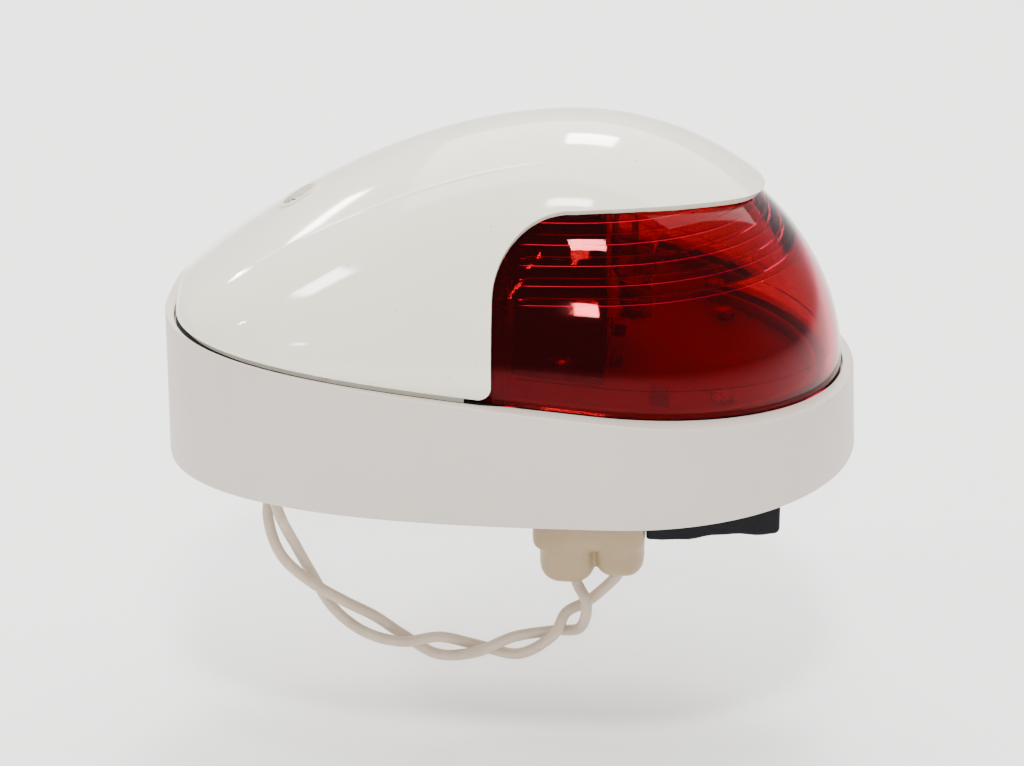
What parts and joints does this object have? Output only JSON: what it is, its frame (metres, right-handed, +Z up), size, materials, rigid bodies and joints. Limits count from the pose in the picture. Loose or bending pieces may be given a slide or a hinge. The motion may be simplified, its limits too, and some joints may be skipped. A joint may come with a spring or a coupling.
{
  "type": "side navigation light",
  "caption": "Egg-shaped side navigation light for a small boat: white cover with a visor over a red wrap-round lens, on a wedge base with a plug-in connector and a twisted lead pair.",
  "frame": {"origin": "centre of the base on the deck face", "axes": "+X towards the nose, +Z up, away from the deck"},
  "size_m": [0.15, 0.096, 0.1256],
  "materials": {
    "base_white": "satin moulded",
    "cover_white": "gloss moulded",
    "lens_red": "clear red, gloss",
    "inner_white": "satin",
    "inner_black": "matt",
    "rubber": "matt",
    "connector_beige": "satin moulded",
    "lead_white": "satin sheath",
    "brass": "drawn",
    "stainless": "satin",
    "tungsten": "drawn wire",
    "glass": "clear"
  },
  "bodies": {
    "root": {"base_housing": "base_white", "blade_terminal_1": "brass", "blade_terminal_2": "brass", "connector_housing": "connector_beige", "connector_receptacle_1": "brass", "connector_receptacle_2": "brass", "contact_lower": "brass", "contact_rivet_1": "brass", "contact_rivet_2": "brass", "contact_upper": "brass", "deck_seal": "rubber", "header_screw_1": "stainless", "header_screw_2": "stainless", "inner_lead_a": "lead_white", "inner_lead_b": "lead_white", "lamp_tray": "inner_white", "lead_a": "lead_white", "lead_b": "lead_white", "lens_gasket": "rubber", "link_wire_a": "lead_white", "link_wire_b": "lead_white", "sector_screen": "inner_black", "tail_grommet": "rubber", "terminal_block": "inner_white", "terminal_header": "inner_black", "terminal_screw_1": "stainless", "terminal_screw_2": "stainless", "terminal_screw_3": "stainless", "terminal_screw_4": "stainless", "threaded_insert": "brass", "tower_screw_1": "stainless", "tower_screw_2": "stainless", "tray_screw_1": "stainless", "tray_screw_2": "stainless"},
    "cover": {"cover": "cover_white"},
    "cover_screw": {"cover_screw": "stainless", "cover_screw_washer": "rubber"},
    "lens": {"lens": "lens_red"},
    "bulb": {"bulb_cap_lower": "brass", "bulb_cap_upper": "brass", "bulb_filament": "tungsten", "bulb_glass": "glass"}
  },
  "joints": [
    {"name": "cover_lift", "type": "slide", "parent": "root", "child": "cover", "axis": [0, 0, 1], "range_m": [0, 0.09]},
    {"name": "cover_screw_out", "type": "slide", "parent": "cover", "child": "cover_screw", "axis": [0, 0, 1], "range_m": [0, 0.012]},
    {"name": "lens_lift", "type": "slide", "parent": "root", "child": "lens", "axis": [0, 0, 1], "range_m": [0, 0.045]},
    {"name": "bulb_out", "type": "slide", "parent": "root", "child": "bulb", "axis": [1, 0, 0], "range_m": [0, 0.01]}
  ],
  "couplings": [
    {"joint": "lens_lift", "follows": "cover_lift", "ratio": 0.5}
  ]
}
